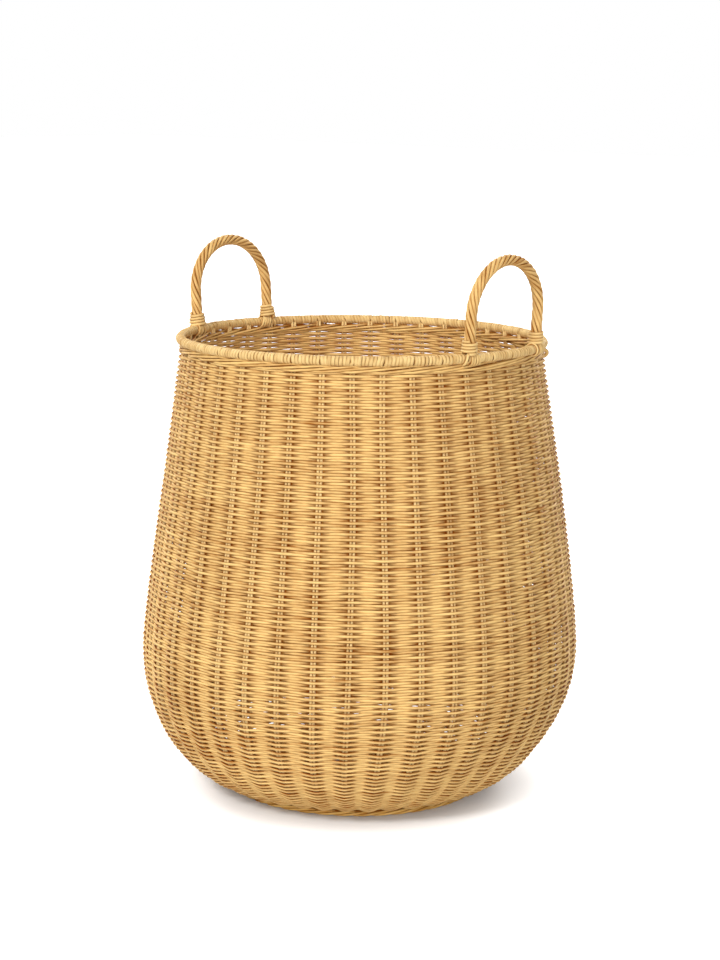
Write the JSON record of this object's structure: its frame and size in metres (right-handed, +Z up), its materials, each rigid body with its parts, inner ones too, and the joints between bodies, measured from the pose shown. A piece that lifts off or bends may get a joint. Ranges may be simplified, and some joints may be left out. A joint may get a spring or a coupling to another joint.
{
  "type": "laundry basket",
  "caption": "Round woven rattan laundry basket with a full belly, a bound rim and two upright roped loop handles.",
  "frame": {"origin": "centre of the underside, on the surface that the basket stands on", "axes": "+Z up; the two handles stand on +X and -X, and each loop spans along Y"},
  "size_m": [0.45, 0.45, 0.5613],
  "materials": {
    "stake_rattan": "peeled round core, satin",
    "weave_rattan": "peeled round core, satin",
    "wale_rattan": "peeled round core, satin",
    "hoop_rattan": "plain rod",
    "binding_rattan": "smooth skin side out, satin",
    "foot_rattan": "peeled round core, satin",
    "rope_rattan": "peeled round core, satin",
    "winding_rattan": "peeled round core, satin"
  },
  "bodies": {
    "root": {"base_round_1": "weave_rattan", "base_round_2": "weave_rattan", "base_round_3": "weave_rattan", "base_round_4": "weave_rattan", "foot_border": "foot_rattan", "handle_lashing_back_left": "winding_rattan", "handle_lashing_back_right": "winding_rattan", "handle_lashing_front_left": "winding_rattan", "handle_lashing_front_right": "winding_rattan", "handle_rope_back": "rope_rattan", "handle_rope_front": "rope_rattan", "handle_winding_back_left": "winding_rattan", "handle_winding_back_right": "winding_rattan", "handle_winding_front_left": "winding_rattan", "handle_winding_front_right": "winding_rattan", "rim_binding": "binding_rattan", "rim_hoop": "hoop_rattan", "stake_bundle_1": "stake_rattan", "stake_bundle_2": "stake_rattan", "stake_bundle_3": "stake_rattan", "stake_bundle_4": "stake_rattan", "top_wale_1": "wale_rattan", "top_wale_2": "wale_rattan", "woven_course_01": "weave_rattan", "woven_course_02": "weave_rattan", "woven_course_03": "weave_rattan", "woven_course_04": "weave_rattan", "woven_course_05": "weave_rattan", "woven_course_06": "weave_rattan", "woven_course_07": "weave_rattan", "woven_course_08": "weave_rattan", "woven_course_09": "weave_rattan", "woven_course_10": "weave_rattan", "woven_course_11": "weave_rattan", "woven_course_12": "weave_rattan", "woven_course_13": "weave_rattan", "woven_course_14": "weave_rattan", "woven_course_15": "weave_rattan", "woven_course_16": "weave_rattan"}
  },
  "joints": []
}
